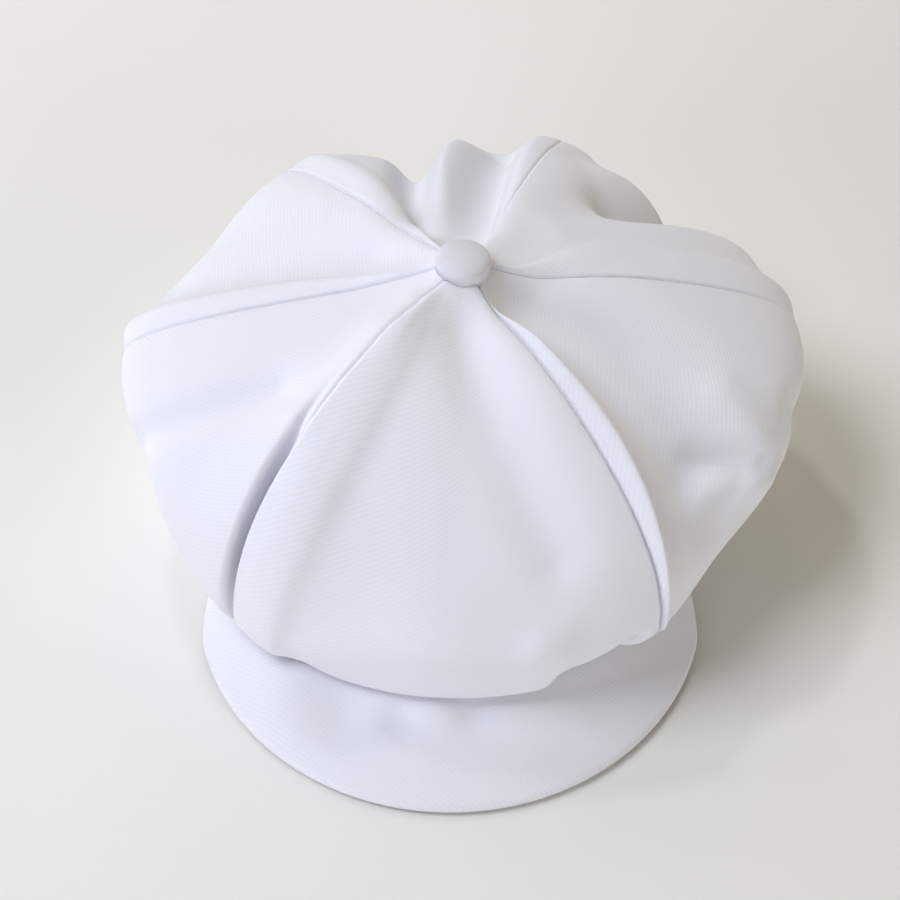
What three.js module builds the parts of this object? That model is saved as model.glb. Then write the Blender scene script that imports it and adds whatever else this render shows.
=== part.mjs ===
// Baby's soft baker-boy cap in six panels, lying on its band with the peak towards -Y.
// Millimetres, +Z up. The origin is the middle of the cap's box on the surface it lies on.
import * as THREE from 'three';

// Clearance between pieces that are sewn together
const SEWN_GAP = 0.3;

// Band: the oval strip round the head opening
const BAND_HALF_WIDTH = 69;
const BAND_HALF_LENGTH = 79;
const BAND_HEIGHT = 24;
const BAND_WALL = 2;
const BAND_STEPS = 40;

// Crown: the slumped cloth over the head, with its middle a little off the band's
const CROWN_MIDDLE = new THREE.Vector2(3.8, 6);
const CROWN_TOP = 98;
const CROWN_EDGE = 15;
const CROWN_WALL = 1.6;
const CROWN_POINT_REACH = 2;
const FLAT_SPOT_REACH = 9;

// Section curves: the pull of their ends, and of the underside towards the band
const SECTION_PULL = 0.45;
const UNDERSIDE_PULL = 0.22;
const EDGE_TURN = { from: 1.6, to: 2 };

// Seams: a ditch with a rolled welt on one side. The welt's crest and end are shares of its width. It grows
// out from the button, and its width and height taper towards the rim.
const SEAM_DITCH = { depth: 0.7, width: 1.2 };
const WELT = { crest: 0.75, end: 1.3, grown: 0.45 };
const WELT_FADE = { from: 0.06, full: 0.25, ease: 1.0, gone: 1.5 };
const WELT_TAPER = { widthFrom: 0.45, widthTo: 1, heightFrom: 0.6, heightTo: 1.05 };

// Button: a covered dome on the crown's middle
const BUTTON_REACH = 8.1;
const BUTTON_RISE = 3.1;
const BUTTON_SIDE = 1.2;
const BUTTON_GAP = 0.4;

// Peak: a cloth-covered plate whose rim is an arc in front of the band
const PEAK_ARC_RADIUS = 78;
const PEAK_ARC_Y = -43;
const PEAK_ARC_HALF_ANGLE = 100;
const PEAK_ROOT_HALF_ANGLE = 88;
const PEAK_ROOT_HEIGHT = { middle: 14, drop: 5 };
const PEAK_RIM_HEIGHT = 3.5;
const PEAK_ARCH = 6;
const PEAK_WALL = 3;
const PEAK_END = { taperFrom: 0.75, width: 0.12 };
const PEAK_RIM_SHARPNESS = 4;

// Mesh density
const PANEL_COLUMN_TURN = 4.5;
const PANEL_ROWS = 26;
const PEAK_COLUMNS = 28;
const PEAK_ROWS = 8;
const BUTTON_STEPS = 24;
const BUTTON_DOME_STEPS = 6;

const WHITE_COTTON = new THREE.MeshStandardMaterial({ color: 0xe4e6ee, roughness: 0.9, metalness: 0 });
const WHITE_BUTTON = new THREE.MeshStandardMaterial({ color: 0xdcdee6, roughness: 0.85, metalness: 0 });

// Crown sections, one row on each seam and one or two between seams.
// azimuth: degrees from +X. reach, rim: how far out and how high the widest point is.
// slope: degrees of fall beside the button. shoulder: fullness above the rim. sag: droop below it.
const SECTIONS = table(['azimuth', 'reach', 'rim', 'slope', 'shoulder', 'sag'], [
  [-146, 103, 40, 13, 30, 3],
  [-133, 101, 25, 7, 50, 4],
  [-114, 97, 15.5, 10, 47.5, 1],
  [-93, 97, 16, 14, 37.5, 1.8],
  [-54, 99, 29, 8, 42, 4],
  [-38, 97, 41, 15, 30, 2],
  [-24, 101, 50, 20, 22, 0],
  [7, 104, 58, 12, 19, 0],
  [38, 92.5, 52, 20, 18, 0],
  [69, 97, 59, 15, 20, 0],
  [96, 91, 53, 24, 18, 0],
  [127, 98, 58, 15, 16, 0],
  [153, 95, 53, 20, 16, 0],
  [179, 104, 57, 19, 14, 0],
  [204, 102, 53, 19, 19, 0],
]);

// Panels, each from one seam to the next. width, height: of the welt along the panel's first seam.
// side: 1 where the welt rolls into the panel, -1 into the one before. taper: the share lost towards the rim.
const PANELS = table(['name', 'seam', 'nextSeam', 'side', 'width', 'height', 'taper'], [
  ['crown_front_panel', -133, -54, 1, 9, 0.3, 0],
  ['crown_front_right_panel', -54, 7, 1, 7.5, 4, 0.5],
  ['crown_back_right_panel', 7, 69, 1, 15, 2.2, 0.2],
  ['crown_back_panel', 69, 127, 1, 8, 0.6, 0],
  ['crown_back_left_panel', 127, 179, -1, 12, 2, 0],
  ['crown_front_left_panel', 179, 227, -1, 11, 2.2, 0],
]);

// Folds in the cloth: soft ridges (height above 0) and valleys (below 0) along lines on the crown laid flat.
// azimuth, row: where it starts, row 0 at the button and 1 at the rim. toAzimuth, toRow: where it ends.
// bow: how far its middle lies to its left. left, right: its widths on either side, seen from above.
// fade: how far it runs out past the line's ends.
const FOLDS = table(['azimuth', 'row', 'toAzimuth', 'toRow', 'bow', 'left', 'right', 'fade', 'height'], [
  [-97, 0.35, -94, 0.75, 0, 17, 14, 15, 2.5],
  [-136, 0.13, -133, 0.46, 0, 3, 5, 4, 1.5],
  [-124, 0.22, -124.5, 0.97, 2, 5, 9, 6, 2.2],
  [-134, 0.62, -133.3, 0.8, 0, 2, 2, 15, -4.5],
  [-136.2, 0.5, -134.8, 0.95, 0, 1.6, 9, 8, 1.4],
  [-120, 0.99, -118, 1.08, 0, 5, 5, 5, -1.2],
  [-86, 0.16, -71, 0.66, -2, 8, 6, 7, -2.6],
  [-117, 0.93, -78, 0.87, 0, 6, 6, 6, 1],
  [-76, 0.86, -74, 0.87, 0, 6, 6, 6, 1.8],
  [-71, 1.12, -61, 1.12, -1, 6, 4, 8, -6],
  [-161, 0.97, -150, 0.46, 0, 5, 5, 6, -2.8],
  [-29, 0.15, -40, 0.7, 1.3, 13, 6.5, 8, -7],
  [-39, 0.9, -30, 0.82, 0, 12, 5, 6, -2],
  [-34, 0.68, -25, 0.86, 0, 4, 4, 4, -2.4],
  [-37, 0.77, -26, 0.96, 0, 4, 5, 4, 1.6],
  [-20, 0.62, -24, 0.82, 0, 6, 6, 6, 1.6],
  [-13, 0.9, -11, 1.05, 0, 7, 7, 7, -2],
  [40, 0.3, 25, 0.9, 0, 9, 9, 9, 4],
  [44, 0.6, 36, 1.1, 0, 9, 6, 10, -8],
  [62, 0.7, 58, 1.05, 0, 7, 7, 7, -2.5],
  [160, 0.25, 165, 0.85, 0, 8, 8, 8, -3],
  [117, 0.3, 116, 0.9, 0, 7, 7, 7, 1.2],
  [110, 0.28, 99, 1.15, 0, 6, 4.5, 7, -8.5],
  [105, 0.34, 89, 0.95, 0, 4.5, 7, 9, 5],
  [80, 0.2, 81, 0.85, 0, 9, 4.5, 10, -8],
]);
const FOLD_MAP_REACH = 100;
const FOLD_MAP_UNDERSIDE = 0.35;

// Dimples (height below 0) and puffs on the peak's upper face, at a place on the plan
const PEAK_DIMPLES = table(['x', 'y', 'width', 'height'], [
  [-14.4, -94, 6, -2.4],
  [6.5, -93, 6, -2.4],
  [-50, -85, 13, 6],
  [-30, -95, 8, -1.5],
  [-66, -69, 10, 2.5],
]);

const HALVINGS = 24;
const SLOPE_STEP = { turn: 0.4, row: 0.004 };
const UP = new THREE.Vector3(0, 0, 1);

// Rows of values as objects with named columns
function table(columns, rows) {
  return rows.map((row) => Object.fromEntries(columns.map((column, index) => [column, row[index]])));
}

function radians(degrees) {
  return THREE.MathUtils.degToRad(degrees);
}

function smooth(value, from, to) {
  return THREE.MathUtils.smoothstep(value, from, to);
}

function turnBetween(azimuth, seam) {
  return THREE.MathUtils.euclideanModulo(azimuth - seam + 180, 360) - 180;
}

function bezier(start, startPull, endPull, end, t) {
  const u = 1 - t;
  return u ** 3 * start + 3 * u * u * t * startPull + 3 * u * t * t * endPull + t ** 3 * end;
}

function bell(distance, width) {
  return Math.exp(-((distance / width) ** 2));
}

// The section table's row before or after another, carried on round the circle
function sectionAt(index) {
  const count = SECTIONS.length;
  const lap = Math.floor(index / count);
  const section = SECTIONS[index - lap * count];
  return { ...section, azimuth: section.azimuth + 360 * lap };
}

// Slope of one column at a row: that of the parabola through the row and its two neighbours
function columnSlope(column, index) {
  const [before, here, after] = [sectionAt(index - 1), sectionAt(index), sectionAt(index + 1)];
  const left = here.azimuth - before.azimuth;
  const right = after.azimuth - here.azimuth;
  const leftSlope = (here[column] - before[column]) / left;
  const rightSlope = (after[column] - here[column]) / right;
  return (leftSlope * right + rightSlope * left) / (left + right);
}

// One column of the section table at any azimuth, by smooth curves from row to row
function sectionValue(column, azimuth) {
  const first = SECTIONS[0].azimuth;
  const turned = first + THREE.MathUtils.euclideanModulo(azimuth - first, 360);
  let index = 0;
  while (sectionAt(index + 1).azimuth <= turned) index += 1;
  const [low, high] = [sectionAt(index), sectionAt(index + 1)];
  const span = high.azimuth - low.azimuth;
  const t = (turned - low.azimuth) / span;
  const pull = span / 3;
  return bezier(
    low[column],
    low[column] + pull * columnSlope(column, index),
    high[column] - pull * columnSlope(column, index + 1),
    high[column],
    t,
  );
}

// How far from the crown's middle the band's outer face is, with the sewn gap
function bandReach(azimuth) {
  const halfAxes = new THREE.Vector2(BAND_HALF_WIDTH + SEWN_GAP, BAND_HALF_LENGTH + SEWN_GAP);
  const middle = CROWN_MIDDLE.clone().divide(halfAxes);
  const along = new THREE.Vector2(Math.cos(radians(azimuth)), Math.sin(radians(azimuth))).divide(halfAxes);
  const a = along.lengthSq();
  const b = along.dot(middle);
  const c = middle.lengthSq() - 1;
  return (-b + Math.sqrt(b * b - a * c)) / a;
}

// Reach and height of a section's curve: row 0 is the crown's middle, 1 its rim, 2 its sewn edge
function sectionPoint(azimuth, row) {
  const reach = sectionValue('reach', azimuth);
  const rim = sectionValue('rim', azimuth);
  if (row <= 1) {
    const fall = Math.tan(radians(sectionValue('slope', azimuth)));
    const r = bezier(0, SECTION_PULL * reach, reach, reach, row);
    const shoulder = rim + sectionValue('shoulder', azimuth);
    const z = bezier(CROWN_TOP, CROWN_TOP - SECTION_PULL * reach * fall, shoulder, rim, row);
    return { r, z: z + fall * r * bell(r, FLAT_SPOT_REACH) };
  }
  const sag = sectionValue('sag', azimuth);
  const edge = bandReach(azimuth);
  const drop = rim - CROWN_EDGE;
  const under = CROWN_EDGE + UNDERSIDE_PULL * drop - sag;
  return {
    r: bezier(reach, reach, edge + SECTION_PULL * (reach - edge), edge, row - 1),
    z: bezier(rim, rim - SECTION_PULL * drop - sag, under, CROWN_EDGE, row - 1),
  };
}

// The crown before its welts and folds
function smoothCrown(azimuth, row) {
  const { r, z } = sectionPoint(azimuth, row);
  const turn = radians(azimuth);
  return new THREE.Vector3(CROWN_MIDDLE.x + r * Math.cos(turn), CROWN_MIDDLE.y + r * Math.sin(turn), z);
}

// Outward direction of the smooth crown, eased to straight down at the sewn edge
function crownOutward(azimuth, row) {
  const { turn, row: step } = SLOPE_STEP;
  const down = smoothCrown(azimuth, Math.min(row + step, 2)).sub(smoothCrown(azimuth, row - step));
  const round = smoothCrown(azimuth + turn, row).sub(smoothCrown(azimuth - turn, row));
  const outward = down.cross(round).normalize();
  return outward.lerp(UP.clone().negate(), smooth(row, EDGE_TURN.from, EDGE_TURN.to)).normalize();
}

// Height of the seams' ditches and welts at a point
function weltHeight(azimuth, row) {
  const begun = smooth(row, WELT_FADE.from, WELT_FADE.full);
  const left = 1 - smooth(row, WELT_FADE.ease, WELT_FADE.gone);
  const narrowing = smooth(row, WELT_TAPER.widthFrom, WELT_TAPER.widthTo);
  const sinking = smooth(row, WELT_TAPER.heightFrom, WELT_TAPER.heightTo);
  const { r } = sectionPoint(azimuth, row);
  let height = 0;
  for (const panel of PANELS) {
    const across = r * radians(turnBetween(azimuth, panel.seam)) * panel.side;
    const width = panel.width * smooth(row, 0, WELT.grown) * (1 - panel.taper * narrowing);
    const [crest, end] = [WELT.crest * width, WELT.end * width];
    const roll = smooth(across, 0, crest) * (1 - smooth(across, crest, end));
    height += panel.height * (1 - panel.taper * sinking) * roll;
    height -= SEAM_DITCH.depth * bell(across, SEAM_DITCH.width);
  }
  return begun * left * height;
}

// A point's place on the crown laid flat: a disc with the rim at FOLD_MAP_REACH, and a narrower ring round it
// for the underside
function foldMap(azimuth, row) {
  const reach = FOLD_MAP_REACH * (Math.min(row, 1) + FOLD_MAP_UNDERSIDE * Math.max(row - 1, 0));
  return new THREE.Vector2(reach, 0).rotateAround(new THREE.Vector2(), radians(azimuth));
}

// Height of all the folds at a point. Each is a bell of the distance from its bowed line, times a bell of the
// distance past the line's ends.
function foldHeight(azimuth, row) {
  const place = foldMap(azimuth, row);
  let height = 0;
  for (const fold of FOLDS) {
    const start = foldMap(fold.azimuth, fold.row);
    const along = foldMap(fold.toAzimuth, fold.toRow).sub(start);
    const length = along.length();
    along.normalize();
    const offset = place.clone().sub(start);
    const passed = offset.dot(along);
    const share = THREE.MathUtils.clamp(passed / length, 0, 1);
    const aside = along.cross(offset) - 4 * fold.bow * share * (1 - share);
    const width = aside > 0 ? fold.left : fold.right;
    height += fold.height * bell(aside, width) * bell(passed - share * length, fold.fade);
  }
  return height;
}

// A point of the crown's cloth, at a depth below its outer face
function crownPoint(azimuth, row, depth) {
  const height = weltHeight(azimuth, row) + foldHeight(azimuth, row) - depth;
  return smoothCrown(azimuth, row).addScaledVector(crownOutward(azimuth, row), height);
}

// The row at which a section has a given reach
function rowAtReach(azimuth, reach) {
  let [low, high] = [0, 1];
  for (let halving = 0; halving < HALVINGS; halving += 1) {
    const middle = (low + high) / 2;
    if (sectionPoint(azimuth, middle).r < reach) low = middle;
    else high = middle;
  }
  return low;
}

// A grid of points, columns of rows, from a function of two shares from 0 to 1
function grid(columns, rows, pointAt) {
  return Array.from({ length: columns + 1 }, (_, column) =>
    Array.from({ length: rows + 1 }, (_row, row) => pointAt(column / columns, row / rows)));
}

// A closed wall between an outer and an inner grid of the same size
function wall(outer, inner) {
  const columns = outer.length - 1;
  const rows = outer[0].length - 1;
  const perGrid = (columns + 1) * (rows + 1);
  const vertex = (side, column, row) => side * perGrid + column * (rows + 1) + row;
  const index = [];
  const quad = (a, b, c, d) => index.push(a, b, c, a, c, d);
  for (let i = 0; i < columns; i += 1) {
    for (let j = 0; j < rows; j += 1) {
      quad(vertex(0, i, j), vertex(0, i, j + 1), vertex(0, i + 1, j + 1), vertex(0, i + 1, j));
      quad(vertex(1, i, j), vertex(1, i + 1, j), vertex(1, i + 1, j + 1), vertex(1, i, j + 1));
    }
    quad(vertex(0, i, 0), vertex(0, i + 1, 0), vertex(1, i + 1, 0), vertex(1, i, 0));
    quad(vertex(0, i + 1, rows), vertex(0, i, rows), vertex(1, i, rows), vertex(1, i + 1, rows));
  }
  for (let j = 0; j < rows; j += 1) {
    quad(vertex(0, 0, j + 1), vertex(0, 0, j), vertex(1, 0, j), vertex(1, 0, j + 1));
    quad(vertex(0, columns, j), vertex(0, columns, j + 1), vertex(1, columns, j + 1), vertex(1, columns, j));
  }
  const geometry = new THREE.BufferGeometry().setFromPoints([...outer.flat(), ...inner.flat()]);
  geometry.setIndex(index);
  geometry.computeVertexNormals();
  return geometry;
}

function piece(name, geometry, material) {
  const mesh = new THREE.Mesh(geometry, material);
  mesh.name = name;
  return mesh;
}

// One wedge of the crown, from the button over the rim and in to the band. Its side columns lie on the
// seams, moved in by half the sewn gap, and the columns crowd towards them.
function crownPanel({ name, seam, nextSeam }) {
  const columns = Math.round((nextSeam - seam) / PANEL_COLUMN_TURN);
  const layer = (depth) => grid(columns, PANEL_ROWS, (acrossShare, downShare) => {
    const azimuth = seam + (nextSeam - seam) * (1 - Math.cos(Math.PI * acrossShare)) / 2;
    const firstRow = rowAtReach(azimuth, CROWN_POINT_REACH);
    const point = crownPoint(azimuth, firstRow + (2 - firstRow) * downShare, depth);
    const sideways = new THREE.Vector3(-Math.sin(radians(azimuth)), Math.cos(radians(azimuth)), 0);
    const inward = acrossShare === 0 ? 1 : acrossShare === 1 ? -1 : 0;
    return point.addScaledVector(sideways, inward * SEWN_GAP / 2);
  });
  return piece(name, wall(layer(0), layer(CROWN_WALL)), WHITE_COTTON);
}

// The covered button: a turned dome whose underside follows the crown
function button() {
  const dome = new THREE.EllipseCurve(0, BUTTON_SIDE, BUTTON_REACH, BUTTON_RISE, 0, Math.PI / 2);
  const underside = [0, 0.5, 1].map((share) => new THREE.Vector2(share * BUTTON_REACH, 0));
  const outline = [...underside, ...dome.getPoints(BUTTON_DOME_STEPS)];
  const geometry = new THREE.LatheGeometry(outline, BUTTON_STEPS);
  geometry.rotateX(Math.PI / 2);
  const place = new THREE.Vector3();
  const corners = geometry.attributes.position;
  for (let i = 0; i < corners.count; i += 1) {
    place.fromBufferAttribute(corners, i);
    const reach = Math.hypot(place.x, place.y);
    const azimuth = reach > 0 ? THREE.MathUtils.radToDeg(Math.atan2(place.y, place.x)) : 0;
    const crown = crownPoint(azimuth, rowAtReach(azimuth, reach), 0).z;
    corners.setZ(i, place.z > 0 ? place.z + CROWN_TOP : crown + BUTTON_GAP);
  }
  geometry.translate(CROWN_MIDDLE.x, CROWN_MIDDLE.y, 0);
  geometry.computeVertexNormals();
  return piece('button', geometry, WHITE_BUTTON);
}

// The band: an upright oval strip
function band() {
  const oval = new THREE.Shape().absellipse(0, 0, BAND_HALF_WIDTH, BAND_HALF_LENGTH, 0, 2 * Math.PI);
  const opening = new THREE.Path();
  opening.absellipse(0, 0, BAND_HALF_WIDTH - BAND_WALL, BAND_HALF_LENGTH - BAND_WALL, 0, 2 * Math.PI);
  oval.holes.push(opening);
  const strip = { depth: BAND_HEIGHT, bevelEnabled: false, curveSegments: BAND_STEPS };
  return piece('band', new THREE.ExtrudeGeometry(oval, strip), WHITE_COTTON);
}

// The peak: root on the band's front, rim on an arc, arched between them and narrowing to its ends
function peak() {
  const layer = (depth) => grid(PEAK_COLUMNS, PEAK_ROWS, (acrossShare, outShare) => {
    const across = 2 * acrossShare - 1;
    const rootTurn = radians(-90 + PEAK_ROOT_HALF_ANGLE * across);
    const root = new THREE.Vector3(
      (BAND_HALF_WIDTH + SEWN_GAP) * Math.cos(rootTurn),
      (BAND_HALF_LENGTH + SEWN_GAP) * Math.sin(rootTurn),
      PEAK_ROOT_HEIGHT.middle - PEAK_ROOT_HEIGHT.drop * across * across,
    );
    const rimTurn = radians(-90 + PEAK_ARC_HALF_ANGLE * across);
    const rim = new THREE.Vector3(
      PEAK_ARC_RADIUS * Math.cos(rimTurn),
      PEAK_ARC_Y + PEAK_ARC_RADIUS * Math.sin(rimTurn),
      PEAK_RIM_HEIGHT,
    );
    const taper = 1 - (1 - PEAK_END.width) * smooth(Math.abs(across), PEAK_END.taperFrom, 1);
    const point = root.clone().lerp(rim, outShare * taper);
    point.z += PEAK_ARCH * outShare * (1 - outShare) * taper;
    const offRim = 1 - outShare ** PEAK_RIM_SHARPNESS;
    for (const { x, y, width, height } of PEAK_DIMPLES) {
      point.z += height * bell(Math.hypot(point.x - x, point.y - y), width) * offRim;
    }
    point.z -= depth;
    return point;
  });
  return piece('peak', wall(layer(0), layer(PEAK_WALL)), WHITE_COTTON);
}

const cap = new THREE.Group();
cap.add(...PANELS.map(crownPanel), button(), peak(), band());

// The cap's box stands with the middle of its base on the origin
const box = new THREE.Box3().setFromObject(cap);
const middle = box.getCenter(new THREE.Vector3());
cap.position.set(-middle.x, -middle.y, -box.min.z);

const part = new THREE.Group();
part.add(cap);

export default part;
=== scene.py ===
"""A baby's white baker-boy cap: six cotton panels, a covered button, a peak and a band, on a pale floor.

The cap's tables are in millimetres and degrees, and every shape is worked out in metres. An azimuth is
counted from +X towards +Y, the crown's about its own middle. A row of the crown is 0 at the button, 1 at the
rim and 2 at the sewn edge.
"""
import math
from collections import namedtuple

import bmesh
import bpy
import numpy as np
from bpy.props import FloatProperty, FloatVectorProperty, PointerProperty
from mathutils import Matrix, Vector


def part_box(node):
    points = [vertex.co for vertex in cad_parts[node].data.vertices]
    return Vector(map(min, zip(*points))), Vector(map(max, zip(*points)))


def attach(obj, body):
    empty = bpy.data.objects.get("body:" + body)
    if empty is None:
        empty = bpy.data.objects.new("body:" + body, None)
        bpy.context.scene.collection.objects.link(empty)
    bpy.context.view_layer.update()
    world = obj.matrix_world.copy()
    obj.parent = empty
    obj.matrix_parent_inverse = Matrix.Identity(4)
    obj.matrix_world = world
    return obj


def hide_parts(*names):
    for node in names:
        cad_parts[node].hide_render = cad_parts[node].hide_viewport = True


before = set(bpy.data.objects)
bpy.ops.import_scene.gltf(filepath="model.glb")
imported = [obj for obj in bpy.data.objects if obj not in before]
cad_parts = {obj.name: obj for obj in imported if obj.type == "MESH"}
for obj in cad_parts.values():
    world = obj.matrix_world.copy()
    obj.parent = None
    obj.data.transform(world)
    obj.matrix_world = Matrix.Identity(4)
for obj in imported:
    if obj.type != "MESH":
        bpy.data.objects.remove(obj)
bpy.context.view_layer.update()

bl_info = {
    "name": "Baker-boy cap",
    "version": (1, 0, 0),
    "blender": (4, 5, 0),
    "location": "3D View > Sidebar > Cap",
    "description": "Builds a baby's baker-boy cap from sewn cotton pieces",
    "category": "Add Mesh",
}

MM = 0.001
BODY = "root"

# The band's box in the frame, and the gap between the band and what is sewn to it
BAND_LOW, BAND_HIGH = (np.array(corner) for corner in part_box("band"))
BAND_MIDDLE = np.array([*(BAND_LOW + BAND_HIGH)[:2] / 2, 0])
BAND_HALF = (BAND_HIGH - BAND_LOW)[:2] / 2
BAND_HEIGHT = BAND_HIGH[2] - BAND_LOW[2]
SEWN_GAP = 0.3 * MM

# Soft studio lights round the cap: the way to each, its distance and size in metres, and its power
Lamp = namedtuple("Lamp", "name azimuth elevation distance size power colour")
LAMPS = [
    Lamp("left_window", 180, 55, 2, 1.2, 26.2, (0.86, 0.91, 1)),
    Lamp("front_left_window", 225, 12, 2, 1.2, 16.6, (0.95, 0.93, 1)),
    Lamp("front_right_fill", 315, 15, 2, 1.2, 12.5, (0.94, 0.95, 1)),
    Lamp("right_fill", 0, 20, 2, 1.2, 6, (1, 0.8, 0.37)),
    Lamp("back_fill", 90, 40, 2, 1.2, 6.3, (1, 0.85, 0.66)),
    Lamp("back_left_fill", 135, 30, 2, 1.2, 6.9, (0.98, 0.98, 1)),
    Lamp("high_lamp", 116, 54, 1.3, 0.12, 1.9, (0.97, 0.97, 1)),
]

# Stage: the points that the lights and the camera look at, the sensor's width in millimetres, half the
# floor's side in metres, the share of its brightness in its clouds, and the scale and detail of their noise
LIT_POINT = Vector((0, 0, 0.05))
VIEW_MIDDLE = Vector(BAND_MIDDLE + np.array([0, -25, 50]) * MM)
SENSOR_WIDTH = 36
FLOOR_HALF, FLOOR_CLOUD, FLOOR_NOISE = 3, 0.96, (6, 3)

# Cloth: each slot's share of the cotton's brightness, the half thickness that is left at a rounded edge, and
# how near points are that count as one
SHADES = {"white_twill": 1, "button_cloth": 0.87}
EDGE_HALF = 0.08 * MM
MERGE_DISTANCE = 0.0001 * MM

# Twill: its slant, how far its ribs sway, the shares of ribs and threads in the weave, those of the weave and
# of slow clouds in the tint, the roughness between the threads and what the threads take from it, and the
# scale and detail of each noise
TWILL_SLANT = math.radians(55)
RIB_SWAY, RIB_SHARE, THREAD_SHARE = 2.5, 0.3, 0.5
WEAVE_TINT, CLOUD_TINT = 0.75, 0.5
ROUGHNESS, THREAD_GLOSS = 0.98, 0.12
SWAY_NOISE, THREAD_NOISE, CLOUD_NOISE = (90, 1), (2600, 3), (38, 2)

# Crown: its middle, seen from the band's, where its panels begin, and the flat spot under the button
CROWN_MIDDLE = BAND_MIDDLE + np.array([3.8, 6, 0]) * MM
CROWN_POINT_REACH = 2 * MM
FLAT_SPOT_REACH = 9 * MM

# Section curves: the pull of their ends, that of the underside, and the rows where the outward turns down
SECTION_PULL, UNDERSIDE_PULL = 0.45, 0.22
EDGE_TURN = (1.6, 2)

# Welts: crest and end as shares of the width, and the rows where they widen, rise, fade, narrow and sink
WELT_CREST, WELT_END = 0.75, 1.3
WELT_WIDENS, WELT_RISES, WELT_FADES = (0, 0.45), (0.06, 0.25), (1, 1.5)
WELT_NARROWS, WELT_SINKS = (0.45, 1), (0.6, 1.05)

# The crown laid flat, in millimetres: the rim's reach, and the share of it that the underside's ring takes
FOLD_MAP_REACH, FOLD_MAP_UNDERSIDE = 100, 0.35

# Unevenness: cells of its lattice, its two sizes, the smaller one's share, the rows where it rises and fades,
# the strip that it leaves flat beside a seam, and the size of the puckers there and how far they reach
RIPPLE_CELLS = 64
RIPPLE_SIZE, SMALL_RIPPLE_SIZE, SMALL_RIPPLE_SHARE = 26 * MM, 11 * MM, 0.4
RIPPLE_RISES, RIPPLE_FADES, RIPPLE_STRIP = (0.08, 0.3), (1.7, 2), 3 * MM
PUCKER_SIZE, PUCKER_STRIP = 1.8 * MM, 4 * MM

# Button: its upright side, its clearance above the crown, and the cloth from its top to its side, in radii
BUTTON_SIDE, BUTTON_GAP, BUTTON_STRETCH = 1.2 * MM, 0.4 * MM, 1.2

# Peak, in millimetres and degrees: its rim's arc and its root on the band, each with a half angle from
# straight ahead, and the factor of the arch between them. It narrows and thins towards its ends, to these
# shares.
PEAK_ARC_RADIUS, PEAK_ARC_Y, PEAK_ARC_HALF_ANGLE, PEAK_RIM_HEIGHT = 78, -43, 100, 3.5
PEAK_ROOT_HALF_ANGLE, PEAK_ROOT_HEIGHT, PEAK_ROOT_DROP = 88, 14, 5
PEAK_ARCH = 6
PEAK_NARROWS, PEAK_END_WIDTH = (0.75, 1), 0.12
PEAK_THINS, PEAK_END_THICKNESS = (0.8, 1), 0.25

# Grids: columns and rows of each piece, how they crowd towards the seams and the peak's rim, the steps that
# slopes are measured over, the halvings of a search and the first row that has a slope
PANEL_COLUMNS_PER_DEGREE, PANEL_CROWDING = 1.9, 0.75
PANEL_ROWS_ABOVE, PANEL_ROWS_BELOW = 120, 70
BUTTON_GRID, PEAK_GRID, BAND_GRID = (96, 40), (240, 90), (400, 40)
PEAK_CROWDING = 1.6
SLOPE_TURN, SLOPE_ROW = 0.4, 0.004
HALVINGS, FIRST_ROW = 24, 0.01

# Crown sections, one on each seam and one or two between seams. reach and rim are how far out and how high
# the widest point is, slope the fall beside the button, shoulder the fullness above the rim and sag the droop
# below it.
Section = namedtuple("Section", "azimuth reach rim slope shoulder sag")
SECTIONS = [
    Section(-146, 103, 40, 13, 30, 3),
    Section(-133, 101, 25, 7, 50, 4),
    Section(-114, 97, 15.5, 10, 47.5, 1),
    Section(-93, 97, 16, 14, 37.5, 1.8),
    Section(-54, 99, 29, 8, 42, 4),
    Section(-38, 97, 41, 15, 30, 2),
    Section(-24, 101, 50, 20, 22, 0),
    Section(7, 104, 58, 12, 19, 0),
    Section(38, 92.5, 52, 20, 18, 0),
    Section(69, 97, 59, 15, 20, 0),
    Section(96, 91, 53, 24, 18, 0),
    Section(127, 98, 58, 15, 16, 0),
    Section(153, 95, 53, 20, 16, 0),
    Section(179, 104, 57, 19, 14, 0),
    Section(204, 102, 53, 19, 19, 0),
]

# Panels from seam to seam. The first seam's welt rolls into the panel (side 1) or the one before it (-1) and
# loses the share taper towards the rim. ditch is that seam's share of the full seam depth.
Panel = namedtuple("Panel", "name seam next_seam side welt_width welt_height taper ditch")
PANELS = [
    Panel("crown_front_panel", -133, -54, 1, 9, 0.3, 0, 0.5),
    Panel("crown_front_right_panel", -54, 7, 1, 7.5, 4, 0.75, 1),
    Panel("crown_back_right_panel", 7, 69, 1, 15, 2.2, 0.2, 1),
    Panel("crown_back_panel", 69, 127, 1, 8, 0.6, 0, 0.4),
    Panel("crown_back_left_panel", 127, 179, -1, 12, 2, 0, 0.9),
    Panel("crown_front_left_panel", 179, 227, -1, 11, 2.2, 0, 1),
]

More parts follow.
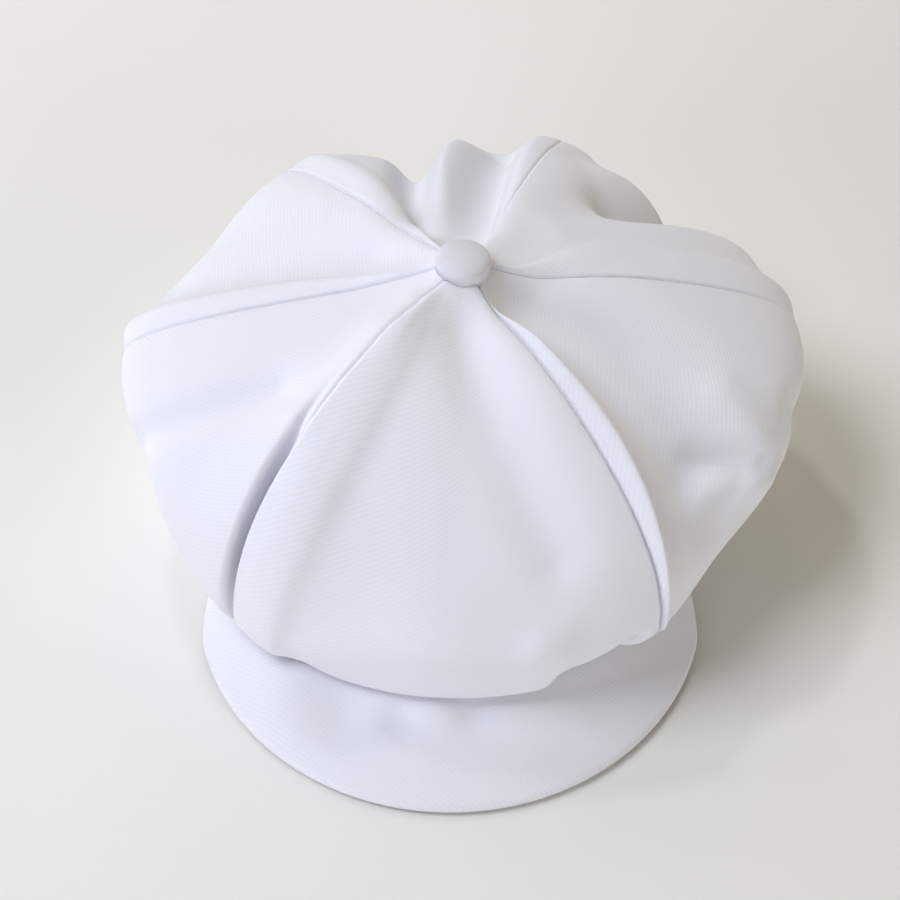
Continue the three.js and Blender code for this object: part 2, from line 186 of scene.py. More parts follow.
# Folds along bowed lines of the crown laid flat: ridges have a height above 0, valleys below 0. bow is how
# far the line's middle lies to its left, left and right are the fold's widths on its two sides, seen from
# above, and fade is how far it runs out past the line's ends.
Fold = namedtuple("Fold", "azimuth row to_azimuth to_row bow left right fade height")
FOLDS = [
    Fold(-97, 0.35, -94, 0.75, 0, 17, 14, 15, 2.5),
    Fold(-136, 0.13, -133, 0.46, 0, 3, 5, 4, 1.5),
    Fold(-124, 0.22, -124.5, 0.97, 2, 4, 9, 6, 1.9),
    Fold(-124.3, 0.6, -124.5, 0.95, 0, 12, 9, 6, 1.4),
    Fold(-134, 0.62, -133.3, 0.8, 0, 1, 1, 15, -7),
    Fold(-136.2, 0.5, -134.8, 0.95, 0, 1.6, 9, 8, 1.4),
    Fold(-120, 0.99, -118, 1.08, 0, 5, 5, 5, -1.2),
    Fold(-86, 0.16, -71, 0.66, -2, 8, 6, 7, -2.6),
    Fold(-117, 0.93, -78, 0.87, 0, 6, 6, 6, 1),
    Fold(-76, 0.86, -74, 0.87, 0, 6, 6, 6, 1.8),
    Fold(-71, 1.03, -61, 1.02, -1, 3, 16, 5, -8),
    Fold(-161, 0.97, -150, 0.46, 0, 5, 5, 6, -2.8),
    Fold(-29, 0.15, -40, 0.7, 1.3, 13, 6.5, 8, -7),
    Fold(-39, 0.9, -30, 0.82, 0, 12, 5, 6, -2),
    Fold(-34, 0.68, -25, 0.86, 0, 4, 4, 4, -2.4),
    Fold(-37, 0.77, -26, 0.96, 0, 4, 5, 4, 1.6),
    Fold(-20, 0.62, -24, 0.82, 0, 6, 6, 6, 1.6),
    Fold(-13, 0.9, -11, 1.05, 0, 7, 7, 7, -2),
    Fold(40, 0.3, 25, 0.9, 0, 9, 9, 9, 4),
    Fold(44, 0.6, 36, 1.1, 0, 9, 6, 10, -8),
    Fold(62, 0.7, 58, 1.05, 0, 7, 7, 7, -2.5),
    Fold(160, 0.25, 165, 0.85, 0, 8, 8, 8, -3),
    Fold(117, 0.3, 116, 0.9, 0, 7, 7, 7, 1.2),
    Fold(110, 0.28, 99, 1.15, 0, 6, 4.5, 7, -8.5),
    Fold(105, 0.34, 89, 0.95, 0, 4.5, 7, 9, 5),
    Fold(80, 0.2, 81, 0.85, 0, 9, 4.5, 10, -8),
]

# Dimples and puffs of the peak's upper face, at places seen from the band's middle. They fade towards the
# peak's rim with this power of the share of the way to it.
DIMPLE_FADE_POWER = 4
Dimple = namedtuple("Dimple", "x y width height")
DIMPLES = [
    Dimple(-14.4, -94, 6, -2.4),
    Dimple(6.5, -93, 6, -2.4),
    Dimple(-50, -85, 13, 6),
    Dimple(-30, -95, 8, -1.5),
    Dimple(-66, -69, 10, 2.5),
]


class CapSizes(bpy.types.PropertyGroup):
    """Sizes of the cap's cloth and pieces."""

    crown_top: FloatProperty(
        name="Crown height", description="Height of the crown's middle, under the button",
        default=0.098, unit="LENGTH")
    crown_edge: FloatProperty(
        name="Crown edge", description="Height at which the panels meet the band",
        default=0.015, unit="LENGTH")
    crown_wall: FloatProperty(
        name="Cloth thickness", description="Thickness of the crown's doubled cloth",
        default=0.0016, unit="LENGTH")
    seam_depth: FloatProperty(
        name="Seam depth", description="Depth of the ditch along each seam",
        default=0.0012, unit="LENGTH")
    seam_width: FloatProperty(
        name="Seam width", description="Half width of the ditch along each seam",
        default=0.0006, unit="LENGTH")
    ripple: FloatProperty(
        name="Ripple", description="Height of the cloth's soft unevenness",
        default=0.00018, unit="LENGTH")
    pucker: FloatProperty(
        name="Pucker", description="Height of the small puckers beside each seam",
        default=0.00012, unit="LENGTH")
    weave_pitch: FloatProperty(
        name="Weave pitch", description="Distance from one rib of the twill to the next",
        default=0.0012, unit="LENGTH")
    button_reach: FloatProperty(
        name="Button radius", description="Radius of the covered button",
        default=0.0081, unit="LENGTH")
    button_rise: FloatProperty(
        name="Button rise", description="Height of the button's dome above its side",
        default=0.0031, unit="LENGTH")
    peak_wall: FloatProperty(
        name="Peak thickness", description="Thickness of the peak's card and cloth",
        default=0.003, unit="LENGTH")
    band_wall: FloatProperty(
        name="Band thickness", description="Thickness of the folded band",
        default=0.002, unit="LENGTH")


class CapColours(bpy.types.PropertyGroup):
    """Colours of the cap and its floor."""

    cotton: FloatVectorProperty(
        name="Cotton", description="Colour of the white cotton", subtype="COLOR",
        size=3, min=0, max=1, default=(0.82, 0.825, 0.875))
    weave_shade: FloatVectorProperty(
        name="Weave shade", description="Colour between the cotton's threads", subtype="COLOR",
        size=3, min=0, max=1, default=(0.76, 0.765, 0.815))
    floor: FloatVectorProperty(
        name="Floor", description="Colour of the pale floor", subtype="COLOR",
        size=3, min=0, max=1, default=(0.87, 0.86, 0.815))


class CapStudio(bpy.types.PropertyGroup):
    """Camera and light."""

    elevation: FloatProperty(
        name="Camera elevation", description="How steeply the camera looks down",
        default=math.radians(50), subtype="ANGLE")
    distance: FloatProperty(
        name="Camera distance", description="From the camera to the middle of its view",
        default=0.64, unit="LENGTH")
    lens: FloatProperty(
        name="Lens", description="Focal length on a sensor 36 mm wide", default=85.3)
    brightness: FloatProperty(
        name="Brightness", description="Factor on the power of all the lights", default=1)


def smoothstep(value, start, end):
    """0 before start, 1 after end, and an S curve between them."""
    t = np.clip((value - start) / (end - start), 0, 1)
    return t * t * (3 - 2 * t)


def bell(distance, width):
    """A bell curve: 1 at distance 0, 1/e at one width."""
    return np.exp(-((distance / width) ** 2))


def bezier(start, start_pull, end_pull, end, t):
    """The cubic curve that leaves start towards the first pull and reaches end from the second."""
    u = 1 - t
    return u**3 * start + 3 * u * u * t * start_pull + 3 * u * t * t * end_pull + t**3 * end


def unit(vectors):
    """The vectors divided by their lengths."""
    return vectors / np.linalg.norm(vectors, axis=-1, keepdims=True)


def ripples(across, along, size, seed):
    """Smooth unevenness from -1 to 1: random heights on a square lattice of that size, eased from corner to
    corner by smoothsteps."""
    heights = np.random.default_rng(seed).uniform(-1, 1, (RIPPLE_CELLS, RIPPLE_CELLS))
    x, y = across / size, along / size
    i, j = np.floor(x).astype(int), np.floor(y).astype(int)
    u, v = smoothstep(x - i, 0, 1), smoothstep(y - j, 0, 1)

    def corner(di, dj):
        return heights[(i + di) % RIPPLE_CELLS, (j + dj) % RIPPLE_CELLS]

    near = corner(0, 0) + u * (corner(1, 0) - corner(0, 0))
    far = corner(0, 1) + u * (corner(1, 1) - corner(0, 1))
    return near + v * (far - near)


def around(column, azimuth):
    """A column of SECTIONS at any azimuth: a cubic from row to row, with the slope at each row that the
    parabola through it and its two neighbours has."""
    turns = np.array([row.azimuth for row in SECTIONS], float)
    turns = np.concatenate([turns - 360, turns, turns + 360])
    values = np.tile(np.array([getattr(row, column) for row in SECTIONS], float), 3)
    slopes = np.gradient(values, turns)
    azimuth = (azimuth + 180) % 360 - 180
    at = np.searchsorted(turns, azimuth, side="right") - 1
    span = turns[at + 1] - turns[at]
    start, end = values[at], values[at + 1]
    return bezier(start, start + span / 3 * slopes[at], end - span / 3 * slopes[at + 1], end,
                  (azimuth - turns[at]) / span)


def direction(azimuth):
    """The level direction at an azimuth: its cosine along X and its sine along Y."""
    turn = np.radians(azimuth)
    return np.stack([np.cos(turn), np.sin(turn), 0 * turn], -1)


def band_reach(azimuth):
    """How far the band's outer face is from the crown's middle: where a ray from there meets the oval."""
    half = BAND_HALF + SEWN_GAP
    start = (CROWN_MIDDLE - BAND_MIDDLE)[:2] / half
    ray = direction(azimuth)[..., :2] / half
    a, b, c = (ray**2).sum(-1), ray @ start, start @ start - 1
    return (-b + np.sqrt(b * b - a * c)) / a


def section(sizes, azimuth, row):
    """Reach and height of the crown's section curve: one cubic from the button to the rim, flattened under
    the button by a bell curve, and one from the rim in to the band."""
    reach, rim, shoulder, sag = (MM * around(name, azimuth) for name in ("reach", "rim", "shoulder", "sag"))
    fall = np.tan(np.radians(around("slope", azimuth)))
    edge, pull = band_reach(azimuth), SECTION_PULL
    drop = rim - sizes.crown_edge
    t, top = np.clip(row, 0, 1), sizes.crown_top
    upper_reach = bezier(0, pull * reach, reach, reach, t)
    upper = bezier(top, top - pull * reach * fall, rim + shoulder, rim, t)
    upper = upper + fall * upper_reach * bell(upper_reach, FLAT_SPOT_REACH)
    t = np.clip(row - 1, 0, 1)
    lower_reach = bezier(reach, reach, edge + pull * (reach - edge), edge, t)
    under = sizes.crown_edge + UNDERSIDE_PULL * drop - sag
    lower = bezier(rim, rim - pull * drop - sag, under, sizes.crown_edge, t)
    return np.where(row <= 1, upper_reach, lower_reach), np.where(row <= 1, upper, lower)


def smooth_crown(sizes, azimuth, row):
    """The crown before its welts and folds: the section curve swept round the crown's middle."""
    reach, height = section(sizes, azimuth, row)
    upright = np.stack([0 * height, 0 * height, height], -1)
    return CROWN_MIDDLE + direction(azimuth) * reach[..., None] + upright


def crown_outward(sizes, azimuth, row):
    """The smooth crown's outward direction: the cross product of its slopes down and round, eased to straight
    down at the sewn edge."""
    below, above = np.minimum(row + SLOPE_ROW, 2), np.maximum(row - SLOPE_ROW, 0)
    down = smooth_crown(sizes, azimuth, below) - smooth_crown(sizes, azimuth, above)
    round_it = smooth_crown(sizes, azimuth + SLOPE_TURN, row) - smooth_crown(sizes, azimuth - SLOPE_TURN, row)
    ease = smoothstep(row, *EDGE_TURN)[..., None]
    return unit(unit(np.cross(down, round_it)) * (1 - ease) + np.array([0, 0, -1]) * ease)


def welts(sizes, azimuth, row):
    """Height of the seams: a bell-shaped ditch along each, and on one side of it a welt that rises and falls
    by smoothsteps."""
    fade = smoothstep(row, *WELT_RISES) * (1 - smoothstep(row, *WELT_FADES))
    widening = smoothstep(row, *WELT_WIDENS)
    narrowing = smoothstep(row, *WELT_NARROWS)
    sinking = smoothstep(row, *WELT_SINKS)
    reach, _ = section(sizes, azimuth, row)
    height = 0 * reach
    for panel in PANELS:
        across = reach * np.radians((azimuth - panel.seam + 180) % 360 - 180) * panel.side
        width = panel.welt_width * MM * widening * (1 - panel.taper * narrowing)
        roll = smoothstep(across, 0, WELT_CREST * width)
        roll = roll * (1 - smoothstep(across, WELT_CREST * width, WELT_END * width))
        rise = panel.welt_height * MM * (1 - panel.taper * sinking)
        height = height + rise * roll * fade
        height = height - panel.ditch * sizes.seam_depth * bell(across, sizes.seam_width)
    return height


def fold_map(azimuth, row):
    """A point's place on the crown laid flat: a disc with the rim at FOLD_MAP_REACH, and a narrower ring
    round it for the underside."""
    reach = np.minimum(row, 1) + FOLD_MAP_UNDERSIDE * np.maximum(row - 1, 0)
    return direction(azimuth)[..., :2] * (FOLD_MAP_REACH * reach)[..., None]


def folds(azimuth, row):
    """Height of all the folds on the crown laid flat: each a bell curve of the distance to its line, which
    bows by a parabola, times another of the distance past the line's ends."""
    place, height = fold_map(azimuth, row), 0 * row
    for fold in FOLDS:
        start, end = (fold_map(np.array(float(a)), np.array(r))
                      for a, r in ((fold.azimuth, fold.row), (fold.to_azimuth, fold.to_row)))
        length = np.linalg.norm(end - start)
        along = (end - start) / length
        passed = (place - start) @ along
        share = np.clip(passed / length, 0, 1)
        beyond = passed - share * length
        side = (place - start) @ np.array([-along[1], along[0]]) - 4 * fold.bow * share * (1 - share)
        width = np.where(side > 0, fold.left, fold.right)
        height = height + fold.height * MM * bell(side, width) * bell(beyond, fold.fade)
    return height


def crown(sizes, azimuth, row, depth):
    """The crown's cloth at a depth below its outer face, with its welts and folds along the outward."""
    height = welts(sizes, azimuth, row) + folds(azimuth, row) - depth
    return smooth_crown(sizes, azimuth, row) + crown_outward(sizes, azimuth, row) * height[..., None]


def row_at_reach(sizes, azimuth, reach):
    """The row at which the crown's section has that reach, by halving."""
    low, high = np.zeros_like(azimuth), np.ones_like(azimuth)
    for _ in range(HALVINGS):
        middle = (low + high) / 2
        short = section(sizes, azimuth, middle)[0] < reach
        low, high = np.where(short, middle, low), np.where(short, high, middle)
    return low


def lengths(points, axis):
    """Distance along the grid's lines on one axis: the running sum of the steps from point to point."""
    steps = np.linalg.norm(np.diff(points, axis=axis), axis=-1)
    start = np.zeros_like(np.take(steps, [0], axis))
    return np.concatenate([start, np.cumsum(steps, axis)], axis)


def cloth_map(points):
    """Place of each grid point on the flat cloth, in metres: the distance across from the middle column, and
    the distance along from the first row, as the mean of all the columns."""
    across = lengths(points, 0)
    across = across - across[across.shape[0] // 2]
    along = np.broadcast_to(lengths(points, 1).mean(0), across.shape)
    return np.stack([across, along], -1)


def wall_mesh(name, outer, inner, cloth, closed_round=False):
    """A closed wall as an object: the outer grid and the inner one turned over, joined along their edges.
    Columns go round and rows go outwards. Points that coincide are merged, which closes poles."""
    columns, rows = outer.shape[:2]
    index = np.arange(columns * rows).reshape(columns, rows)
    if closed_round:
        index = np.concatenate([index, index[:1]])
    flip = columns * rows

    def quads(a, b, c, d):
        return np.stack([a, b, c, d], -1).reshape(-1, 4)

    top = quads(index[:-1, :-1], index[:-1, 1:], index[1:, 1:], index[1:, :-1])
    faces = [top, top[:, ::-1] + flip]
    edges = [index[:, 0], index[::-1, -1]]
    if not closed_round:
        edges += [index[0, ::-1], index[-1]]
    for edge in edges:
        a, b = edge[:-1], edge[1:]
        faces.append(quads(a, b, b + flip, a + flip))
    faces = np.concatenate(faces)
    mesh = bpy.data.meshes.new(name)
    points = np.concatenate([outer.reshape(-1, 3), inner.reshape(-1, 3)])
    mesh.vertices.add(len(points))
    mesh.vertices.foreach_set("co", points.ravel())
    mesh.loops.add(faces.size)
    mesh.loops.foreach_set("vertex_index", faces.ravel())
    mesh.polygons.add(len(faces))
    mesh.polygons.foreach_set("loop_start", np.arange(0, faces.size, 4))
    mesh.update(calc_edges=True)
    cloth = np.tile(cloth.reshape(-1, 2), (2, 1))
    mesh.uv_layers.new(name="cloth").data.foreach_set("uv", cloth[faces.ravel()].ravel())
    work = bmesh.new()
    work.from_mesh(mesh)
    bmesh.ops.remove_doubles(work, verts=work.verts, dist=MERGE_DISTANCE)
    work.to_mesh(mesh)
    work.free()
    mesh.polygons.foreach_set("use_smooth", np.ones(len(mesh.polygons), bool))
    mesh.validate()
    made = bpy.data.objects.new(name, mesh)
    bpy.context.scene.collection.objects.link(made)
    return made


def rounded(half, from_edge):
    """Half thickness of a wall at a distance from its rounded edge: that of a half circle."""
    inside = np.clip(1 - from_edge / half, 0, 1)
    return np.maximum(half * np.sqrt(1 - inside**2), EDGE_HALF)


class Wire:
    """An output of a material's nodes. Arithmetic on wires adds Math nodes."""

    def __init__(self, tree, socket=None):
        self.tree = tree
        self.socket = socket

    def node(self, kind, settings, inputs, output=0):
        """Adds a node of that kind: its settings first, then the values or wires of its inputs."""
        made = self.tree.nodes.new(kind)
        for name, value in settings.items():
            setattr(made, name, value)
        for key, value in inputs.items():
            if isinstance(value, Wire):
                self.tree.links.new(value.socket, made.inputs[key])
            else:
                made.inputs[key].default_value = value
        return Wire(self.tree, made.outputs[output])

    def math(self, operation, *values):
        """A Math node's result."""
        return self.node("ShaderNodeMath", {"operation": operation}, dict(enumerate(values)))

    def __add__(self, other):
        return self.math("ADD", self, other)

    def __radd__(self, other):
        return self.math("ADD", other, self)

    def __sub__(self, other):
        return self.math("SUBTRACT", self, other)

    def __rsub__(self, other):
        return self.math("SUBTRACT", other, self)

    def __mul__(self, other):
        return self.math("MULTIPLY", self, other)

    def __rmul__(self, other):
        return self.math("MULTIPLY", other, self)

    def sine(self):
        """The sine of the value."""
        return self.math("SINE", self)

    def noise(self, place, scale, detail):
        """A Noise Texture's value at a place."""
        return self.node("ShaderNodeTexNoise", {}, {"Vector": place, "Scale": scale, "Detail": detail})

    def mix(self, share, dark, light):
        """A Mix node's colour from dark to light. Its colour sockets are inputs 6 and 7 and output 2."""
        return self.node("ShaderNodeMix", {"data_type": "RGBA"}, {0: share, 6: dark, 7: light}, 2)


def new_material(name):
    """An empty material, its shader and a wire to start from."""
    material = bpy.data.materials.new(name)
    material.use_nodes = True
    return material, material.node_tree.nodes["Principled BSDF"], Wire(material.node_tree)


def cotton(name, sizes, colours, shade):
    """White cotton twill: ribs slant across the cloth's own map as a sine of the distance across them, a
    slower noise sways them, a fine one roughens their threads and a wide one clouds the tint."""
    material, shader, wire = new_material(name)
    tree = material.node_tree
    place = wire.node("ShaderNodeUVMap", {"uv_map": "cloth"}, {})
    across = wire.node("ShaderNodeSeparateXYZ", {}, {0: place}, "X")
    along = wire.node("ShaderNodeSeparateXYZ", {}, {0: place}, "Y")
    at = wire.node("ShaderNodeTexCoord", {}, {}, "Object")
    sway, threads, cloud = (wire.noise(at, *noise) for noise in (SWAY_NOISE, THREAD_NOISE, CLOUD_NOISE))
    turn = 2 * math.pi / sizes.weave_pitch
    slant = math.cos(TWILL_SLANT) * across + math.sin(TWILL_SLANT) * along
    ribs = (slant * turn + RIB_SWAY * sway).sine()
    weave = 0.5 + RIB_SHARE * ribs + THREAD_SHARE * (threads - 0.5)
    share = WEAVE_TINT * weave + CLOUD_TINT * cloud
    dark, light = ((*(shade * Vector(colour)), 1) for colour in (colours.weave_shade, colours.cotton))
    tint = wire.mix(share, dark, light)
    bump = wire.node("ShaderNodeBump", {}, {"Height": weave, "Strength": 0.25, "Distance": 0.00014})
    tree.links.new(tint.socket, shader.inputs["Base Color"])
    tree.links.new((ROUGHNESS - THREAD_GLOSS * weave).socket, shader.inputs["Roughness"])
    tree.links.new(bump.socket, shader.inputs["Normal"])
    shader.inputs["Specular IOR Level"].default_value = 0.2
    shader.inputs["Sheen Weight"].default_value = 0.25
    shader.inputs["Sheen Roughness"].default_value = 0.5
    return material


def cotton_of(context, slot):
    """The cotton for a slot, made once."""
    scene, name = context.scene, "cotton_" + slot
    return bpy.data.materials.get(name) or cotton(name, scene.cap_sizes, scene.cap_colours, SHADES[slot])


def dress(piece, context, slot):
    """Gives a piece the cotton for its slot and its body, and hides the imported part that it stands for."""
    piece.data.materials.append(cotton_of(context, slot))
    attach(piece, BODY)
    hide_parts(piece.name.removeprefix("cloth_"))


def crown_panel(sizes, panel):
    """One wedge of the crown as a wall, its flat size and its area: a grid from seam to seam, with columns
    that crowd towards the seams, and from the button over the rim to the band. Ripples and, beside the seams,
    puckers lift both faces along the outward."""
    span = panel.next_seam - panel.seam
    share = np.linspace(0, 1, round(span * PANEL_COLUMNS_PER_DEGREE))
    share = share - PANEL_CROWDING * np.sin(2 * np.pi * share) / (2 * np.pi)
    azimuth = (panel.seam + span * share)[:, None]
    first = row_at_reach(sizes, azimuth, CROWN_POINT_REACH)
    above, below = np.linspace(0, 1, PANEL_ROWS_ABOVE, endpoint=False), np.linspace(1, 2, PANEL_ROWS_BELOW)
    down = np.concatenate([above, below])[None]
    row = first + (1 - first) * np.minimum(down, 1) + np.maximum(down - 1, 0)
    azimuth, row = np.broadcast_arrays(azimuth, row)
    outer, inner = (crown(sizes, azimuth, row, depth) for depth in (0, sizes.crown_wall))
    cloth = cloth_map(outer)
    across, along = cloth[..., 0], cloth[..., 1]
    seed = panel.seam % 360
    uneven = ripples(across, along, RIPPLE_SIZE, seed)
    uneven = uneven + SMALL_RIPPLE_SHARE * ripples(across, along, SMALL_RIPPLE_SIZE, seed + 1)
    edge = np.minimum(lengths(outer, 0), lengths(outer[::-1], 0)[::-1])
    pucker = bell(edge, PUCKER_STRIP) * ripples(along, 0 * along + seed, PUCKER_SIZE, seed + 2)
    fade = smoothstep(row, *RIPPLE_RISES) * (1 - smoothstep(row, *RIPPLE_FADES))
    fade = fade * smoothstep(edge, 0, RIPPLE_STRIP)
    lift = (sizes.ripple * uneven * fade + sizes.pucker * pucker)[..., None]
    outward = crown_outward(sizes, azimuth, row)
    made = wall_mesh("cloth_" + panel.name, outer + outward * lift, inner + outward * lift, cloth)
    cell = np.linalg.norm(np.cross(np.diff(outer, axis=0)[:, :-1], np.diff(outer, axis=1)[:-1]), axis=-1)
    size = (float(lengths(outer, 0)[-1].max()), float(lengths(outer, 1)[:, -1].max()))
    return made, size, float(cell.sum())


class CAP_OT_crown(bpy.types.Operator):
    """Sew the six panels of the crown"""

    bl_idname = "cap.crown"
    bl_label = "Crown panels"

    def execute(self, context):
        for panel in PANELS:
            made, size, area = crown_panel(context.scene.cap_sizes, panel)
            dress(made, context, "white_twill")
        return {"FINISHED"}


class CAP_OT_button(bpy.types.Operator):
    """Cover the button and seat it on the crown's middle"""

    bl_idname = "cap.button"
    bl_label = "Button"

    def execute(self, context):
        # A quarter ellipse turned round the crown's middle, above an underside that follows the crown
        sizes = context.scene.cap_sizes
        columns, rows = BUTTON_GRID
        azimuth = np.linspace(0, 360, columns, endpoint=False)[:, None]
        share = np.linspace(0, 1, rows)[None]
        azimuth, share = np.broadcast_arrays(azimuth, share)
        reach = sizes.button_reach * np.sin(share * np.pi / 2)
        row = np.maximum(row_at_reach(sizes, azimuth, reach), FIRST_ROW)
        seat = crown(sizes, azimuth, row, 0)[..., 2] + BUTTON_GAP
        plan = CROWN_MIDDLE + direction(azimuth) * reach[..., None]
        dome = plan.copy()
        dome[..., 2] = sizes.crown_top + BUTTON_SIDE + sizes.button_rise * np.cos(share * np.pi / 2)
        under = plan.copy()
        under[..., 2] = seat
        cloth = direction(azimuth)[..., :2] * (sizes.button_reach * share * BUTTON_STRETCH)[..., None]
        made = wall_mesh("cloth_button", dome, under, cloth, closed_round=True)
        dress(made, context, "button_cloth")
        return {"FINISHED"}


def peak_face(sizes):
    """The peak's upper surface and its half thickness: straight from the root on the band to the rim's arc,
    arched between them by a parabola, with bell-shaped dimples, narrowing to its ends and rounded off at the
    rim."""
    columns, rows = PEAK_GRID
    across = np.linspace(-1, 1, columns)[:, None]
    out = (1 - (1 - np.linspace(0, 1, rows)) ** PEAK_CROWDING)[None]
    across, out = np.broadcast_arrays(across, out)
    half = np.append(BAND_HALF + SEWN_GAP, 1)
    root = BAND_MIDDLE + direction(-90 + PEAK_ROOT_HALF_ANGLE * across) * half
    root[..., 2] = (PEAK_ROOT_HEIGHT - PEAK_ROOT_DROP * across**2) * MM
    arc_middle = BAND_MIDDLE + np.array([0, PEAK_ARC_Y, 0]) * MM
    rim = arc_middle + direction(-90 + PEAK_ARC_HALF_ANGLE * across) * PEAK_ARC_RADIUS * MM
    rim[..., 2] = PEAK_RIM_HEIGHT * MM
    taper = 1 - (1 - PEAK_END_WIDTH) * smoothstep(np.abs(across), *PEAK_NARROWS)
    face = root + (rim - root) * (out * taper)[..., None]
    plan = (face - BAND_MIDDLE)[..., :2]
    lift = PEAK_ARCH * MM * out * (1 - out) * taper
    for dimple in DIMPLES:
        away = np.linalg.norm(plan - np.array([dimple.x, dimple.y]) * MM, axis=-1)
        lift = lift + dimple.height * MM * bell(away, dimple.width * MM) * (1 - out**DIMPLE_FADE_POWER)
    face[..., 2] += lift
    from_rim = lengths(face[:, ::-1], 1)[:, ::-1]
    thick = sizes.peak_wall / 2 * (1 - (1 - PEAK_END_THICKNESS) * smoothstep(np.abs(across), *PEAK_THINS))
    return face, rounded(thick, from_rim)


class CAP_OT_peak(bpy.types.Operator):
    """Cover the peak and set it on the front of the band"""

    bl_idname = "cap.peak"
    bl_label = "Peak"

    def execute(self, context):
        # Two faces, each half the thickness above or below the middle surface
        sizes = context.scene.cap_sizes
        face, half = peak_face(sizes)
        middle = face - np.array([0, 0, sizes.peak_wall / 2])
        up = np.stack([0 * half, 0 * half, half], -1)
        cloth = (face - BAND_MIDDLE)[..., :2]
        made = wall_mesh("cloth_peak", middle + up, middle - up, cloth)
        dress(made, context, "white_twill")
        return {"FINISHED"}


class CAP_OT_band(bpy.types.Operator):
    """Fold the band round the head opening"""

    bl_idname = "cap.band"
    bl_label = "Band"

    def execute(self, context):
        # An upright oval wall, its thickness laid along the oval's outward and rounded off at both edges
        sizes = context.scene.cap_sizes
        columns, rows = BAND_GRID
        azimuth = np.linspace(0, 360, columns, endpoint=False)[:, None]
        share = np.linspace(0, 1, rows)[None]
        azimuth, share = np.broadcast_arrays(azimuth, share)
        thick = sizes.band_wall / 2
        height = BAND_HEIGHT * (1 - share)
        half = rounded(thick, np.minimum(height, BAND_HEIGHT - height))
        oval = np.append(BAND_HALF - thick, 0)
        middle = BAND_MIDDLE + direction(azimuth) * oval
        middle[..., 2] = height
        sideways = unit(direction(azimuth) / np.append(BAND_HALF, 1)) * half[..., None]
        cloth = np.stack([np.radians(azimuth) * BAND_HALF.mean(), height], -1)
        made = wall_mesh("cloth_band", middle + sideways, middle - sideways, cloth, closed_round=True)
        dress(made, context, "white_twill")
        girth = float(lengths(middle, 0)[-1].max())
        return {"FINISHED"}


def floor_finish(colours):
    """Pale matt floor, very slightly clouded."""
    material, shader, wire = new_material("pale_floor")
    at = wire.node("ShaderNodeTexCoord", {}, {}, "Object")
    darker = [FLOOR_CLOUD * value for value in colours.floor]
    tint = wire.mix(wire.noise(at, *FLOOR_NOISE), (*darker, 1), (*colours.floor, 1))
    material.node_tree.links.new(tint.socket, shader.inputs["Base Color"])
    shader.inputs["Roughness"].default_value = 0.8
    shader.inputs["Specular IOR Level"].default_value = 0.2
    return material


def area_light(scene, lamp, brightness):
    """A round area light, turned to the cap's middle."""
    made = bpy.data.objects.new(lamp.name, bpy.data.lights.new(lamp.name, "AREA"))
    scene.collection.objects.link(made)
    made.data.shape = "DISK"
    made.data.size = lamp.size
    made.data.energy = lamp.power * brightness
    made.data.color = lamp.colour
    turn, rise = math.radians(lamp.azimuth), math.radians(lamp.elevation)
    way = Vector((math.cos(turn) * math.cos(rise), math.sin(turn) * math.cos(rise), math.sin(rise)))
    made.location = LIT_POINT + way * lamp.distance
    made.rotation_euler = (-way).to_track_quat("-Z", "Y").to_euler()


def lay_floor(scene):
    """A flat square floor under the cap."""
    mesh = bpy.data.meshes.new("floor")
    corners = [(x * FLOOR_HALF, y * FLOOR_HALF, 0) for x, y in ((-1, -1), (1, -1), (1, 1), (-1, 1))]
    mesh.from_pydata(corners, [], [(0, 1, 2, 3)])
    floor = bpy.data.objects.new("floor", mesh)
    scene.collection.objects.link(floor)
    mesh.materials.append(floor_finish(scene.cap_colours))


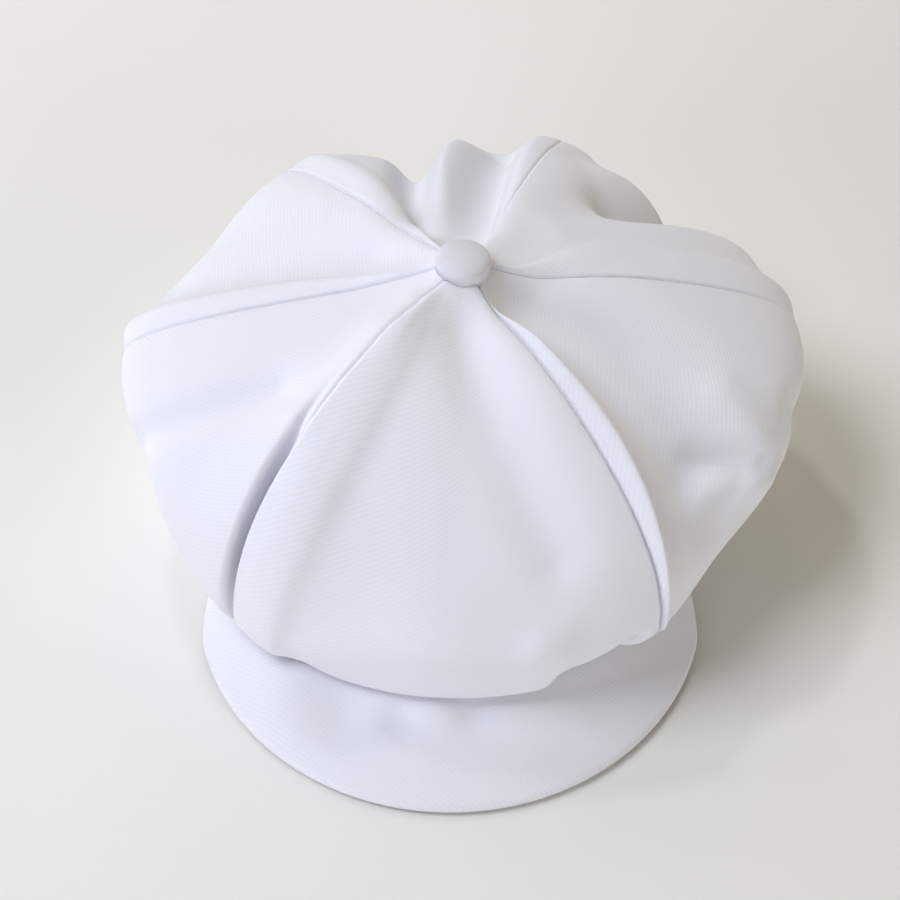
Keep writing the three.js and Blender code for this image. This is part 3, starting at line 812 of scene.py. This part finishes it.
def set_camera(scene, studio):
    """The camera, in front of the cap and above it, turned to the middle of its view."""
    camera = bpy.data.objects.new("camera", bpy.data.cameras.new("camera"))
    scene.collection.objects.link(camera)
    camera.data.sensor_width = SENSOR_WIDTH
    camera.data.lens = studio.lens
    back = Vector((0, -math.cos(studio.elevation), math.sin(studio.elevation)))
    camera.location = VIEW_MIDDLE + back * studio.distance
    camera.rotation_euler = (-back).to_track_quat("-Z", "Y").to_euler()
    scene.camera = camera


class CAP_OT_stage(bpy.types.Operator):
    """Lay the floor and set the camera and the lights"""

    bl_idname = "cap.stage"
    bl_label = "Stage"

    def execute(self, context):
        scene, studio = context.scene, context.scene.cap_studio
        lay_floor(scene)
        set_camera(scene, studio)
        for lamp in LAMPS:
            area_light(scene, lamp, studio.brightness)
        scene.view_settings.view_transform = "Standard"
        return {"FINISHED"}


class CAP_PT_sidebar(bpy.types.Panel):
    """The cap's steps and sizes"""

    bl_idname = "CAP_PT_sidebar"
    bl_label = "Baker-boy cap"
    bl_space_type = "VIEW_3D"
    bl_region_type = "UI"
    bl_category = "Cap"

    def draw(self, context):
        for step in STEPS:
            self.layout.operator(step.bl_idname)
        for group in (context.scene.cap_sizes, context.scene.cap_colours, context.scene.cap_studio):
            for name in group.__annotations__:
                self.layout.prop(group, name)


STEPS = (CAP_OT_stage, CAP_OT_crown, CAP_OT_button, CAP_OT_peak, CAP_OT_band)
GROUPS = {"cap_sizes": CapSizes, "cap_colours": CapColours, "cap_studio": CapStudio}
CLASSES = (*GROUPS.values(), *STEPS, CAP_PT_sidebar)


def register():
    """Registers the classes and gives the scene its settings."""
    for cls in CLASSES:
        bpy.utils.register_class(cls)
    for name, group in GROUPS.items():
        setattr(bpy.types.Scene, name, PointerProperty(type=group))


def unregister():
    """Takes the settings and the classes away again."""
    for name in GROUPS:
        delattr(bpy.types.Scene, name)
    for cls in reversed(CLASSES):
        bpy.utils.unregister_class(cls)


def main():
    """Registers the add-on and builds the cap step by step."""
    register()
    bpy.ops.cap.stage()
    bpy.ops.cap.crown()
    bpy.ops.cap.button()
    bpy.ops.cap.peak()
    bpy.ops.cap.band()


if __name__ == "__main__":
    main()
